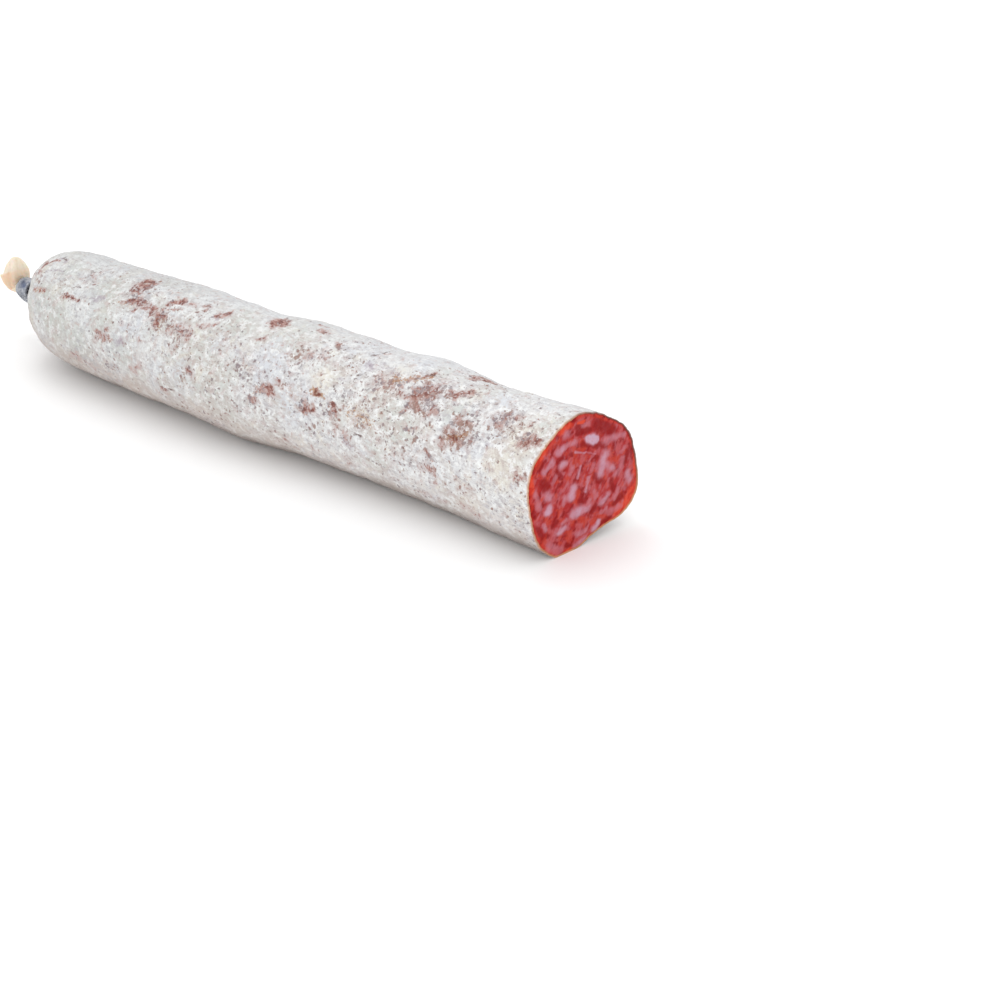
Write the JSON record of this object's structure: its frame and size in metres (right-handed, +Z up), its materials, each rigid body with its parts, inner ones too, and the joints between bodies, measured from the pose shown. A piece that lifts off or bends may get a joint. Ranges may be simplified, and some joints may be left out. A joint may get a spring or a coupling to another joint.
{
  "type": "cured sausage",
  "caption": "Part-used stick of dry-cured sausage with a mould-white casing, one end cut across and the other gathered into a metal clip.",
  "frame": {"origin": "on the table, under the middle of the object's box", "axes": "+X along the stick, out of its cut end; +Z up from the table; +Y to the stick's far side in the picture"},
  "size_m": [0.3526, 0.0588, 0.0554],
  "materials": {
    "casing": "dry and chalky: white, greenish-grey and bluish mould with red-brown bare patches",
    "meat": "moist satin cut face: red lean meat with pinkish-white fat lumps and an orange-red rim",
    "clip_metal": "dull blue-grey, crimped",
    "bare_casing": "translucent beige satin, pleated"
  },
  "bodies": {
    "root": {"sausage": "casing", "clip": "clip_metal", "casing_end": "bare_casing"}
  },
  "joints": []
}
